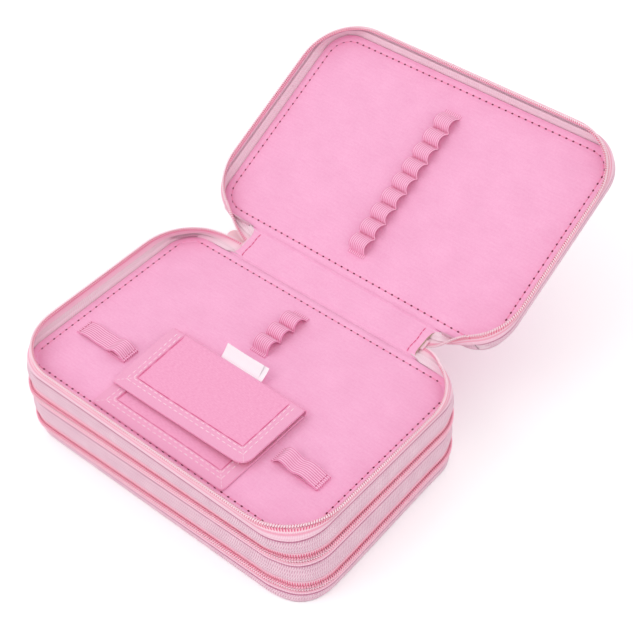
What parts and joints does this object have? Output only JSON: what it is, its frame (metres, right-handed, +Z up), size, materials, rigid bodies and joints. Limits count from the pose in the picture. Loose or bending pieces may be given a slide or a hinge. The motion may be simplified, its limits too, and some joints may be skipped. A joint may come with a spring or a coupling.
{
  "type": "zipped fabric pencil case",
  "caption": "Soft-sided pencil case of stacked zip trays on a cloth spine hinge, with an opened lid, elastic pencil loops and a small wallet pocket.",
  "frame": {"origin": "middle of the flat underside of the bottom panel", "axes": "+X along the spine hinge, +Y towards the hinge, where the lid opens, +Z up"},
  "size_m": [0.2015, 0.2677, 0.1192],
  "materials": {
    "lining": "fine matte weave",
    "cover": "matte weave",
    "stiffener": "raw edge, matte",
    "knit": "padded knit",
    "zip_tape": "woven tape",
    "zip_coil": "satin coil",
    "elastic": "ribbed elastic",
    "pocket_cloth": "fine weave",
    "binding": "grosgrain binding",
    "label": "white satin label",
    "slider": "coated slider",
    "pull": "soft matte rubber"
  },
  "bodies": {
    "bottom_shell": {"bottom_cover": "cover", "bottom_board": "stiffener", "bottom_lining": "lining", "bottom_side_band": "knit", "bottom_zip_lower_tape": "zip_tape", "bottom_zip_lower_coil": "zip_coil"},
    "bottom_spine": {"bottom_spine_board": "stiffener", "bottom_spine_lining": "lining", "bottom_spine_cover": "cover", "bottom_zip_ends": "zip_coil"},
    "lower_divider": {"lower_divider_board": "stiffener", "lower_divider_top_lining": "lining", "lower_divider_under_lining": "lining", "lower_divider_side_band": "knit", "bottom_zip_upper_tape": "zip_tape", "bottom_zip_upper_coil": "zip_coil", "middle_zip_lower_tape": "zip_tape", "middle_zip_lower_coil": "zip_coil"},
    "middle_spine": {"middle_spine_board": "stiffener", "middle_spine_lining": "lining", "middle_spine_cover": "cover", "middle_zip_ends": "zip_coil"},
    "upper_divider": {"upper_divider_board": "stiffener", "upper_divider_top_lining": "lining", "upper_divider_under_lining": "lining", "upper_divider_side_band": "knit", "middle_zip_upper_tape": "zip_tape", "middle_zip_upper_coil": "zip_coil", "top_zip_lower_tape": "zip_tape", "top_zip_lower_coil": "zip_coil", "three_loop_elastic": "elastic", "left_elastic": "elastic", "right_elastic": "elastic", "pocket_base": "pocket_cloth", "pocket_base_binding": "binding", "care_label": "label"},
    "flap": {"pocket_flap": "pocket_cloth", "pocket_flap_binding": "binding"},
    "top_spine": {"top_spine_board": "stiffener", "top_spine_lining": "lining", "top_spine_cover": "cover", "top_zip_ends": "zip_coil"},
    "lid": {"lid_cover": "cover", "lid_board": "stiffener", "lid_lining": "lining", "lid_side_band": "knit", "top_zip_upper_tape": "zip_tape", "top_zip_upper_coil": "zip_coil", "nine_loop_elastic": "elastic"},
    "top_slider": {"top_zip_slider": "slider"},
    "top_pull": {"top_zip_tab": "pull"},
    "middle_slider": {"middle_zip_slider": "slider"},
    "middle_pull": {"middle_zip_tab": "pull"},
    "bottom_slider": {"bottom_zip_slider": "slider"},
    "bottom_pull": {"bottom_zip_tab": "pull"}
  },
  "joints": [
    {"name": "tier_3_fold", "type": "hinge", "parent": "bottom_shell", "child": "bottom_spine", "pos_m": [0, 0.0644, 0.0026], "axis": [1, 0, 0], "range_deg": [-90, 0]},
    {"name": "tier_3_lift", "type": "hinge", "parent": "bottom_spine", "child": "lower_divider", "pos_m": [0, 0.0644, 0.0222], "axis": [1, 0, 0], "range_deg": [-90, 0]},
    {"name": "tier_2_fold", "type": "hinge", "parent": "lower_divider", "child": "middle_spine", "pos_m": [0, 0.0644, 0.0248], "axis": [-1, 0, 0], "range_deg": [0, 50]},
    {"name": "tier_2_lift", "type": "hinge", "parent": "middle_spine", "child": "upper_divider", "pos_m": [0, 0.0644, 0.0444], "axis": [-1, 0, 0], "range_deg": [0, 50]},
    {"name": "lid_fold", "type": "hinge", "parent": "upper_divider", "child": "top_spine", "pos_m": [0, 0.0644, 0.047], "axis": [1, 0, 0], "range_deg": [-13.3, 76.4]},
    {"name": "lid_lift", "type": "hinge", "parent": "top_spine", "child": "lid", "pos_m": [0, 0.08347, 0.05151], "axis": [1, 0, 0], "range_deg": [-13.3, 76.4]},
    {"name": "flap_fold", "type": "hinge", "parent": "upper_divider", "child": "flap", "pos_m": [0, -0.001, 0.0498], "axis": [1, 0, 0], "range_deg": [-110, 0]},
    {"name": "top_slider_run", "type": "slide", "parent": "top_spine", "child": "top_slider", "axis": [1, 0, 0], "range_m": [-0.006, 0]},
    {"name": "top_pull_swing", "type": "hinge", "parent": "top_slider", "child": "top_pull", "pos_m": [-0.0603, 0.07543, 0.04293], "axis": [0, -0.9732, -0.23], "range_deg": [0, 150]},
    {"name": "middle_slider_run", "type": "slide", "parent": "lower_divider", "child": "middle_slider", "axis": [0, 1, 0], "range_m": [-0.055, 0]},
    {"name": "middle_pull_swing", "type": "hinge", "parent": "middle_slider", "child": "middle_pull", "pos_m": [-0.10065, 0.0242, 0.0346], "axis": [0, 0, -1], "range_deg": [0, 170]},
    {"name": "bottom_slider_run", "type": "slide", "parent": "bottom_shell", "child": "bottom_slider", "axis": [0, 1, 0], "range_m": [-0.055, 0]},
    {"name": "bottom_pull_swing", "type": "hinge", "parent": "bottom_slider", "child": "bottom_pull", "pos_m": [-0.10065, 0.0242, 0.0124], "axis": [0, 0, -1], "range_deg": [0, 170]}
  ],
  "couplings": [
    {"joint": "tier_3_fold", "follows": "tier_3_lift", "ratio": 1},
    {"joint": "tier_2_fold", "follows": "tier_2_lift", "ratio": 1},
    {"joint": "lid_fold", "follows": "lid_lift", "ratio": 1}
  ]
}
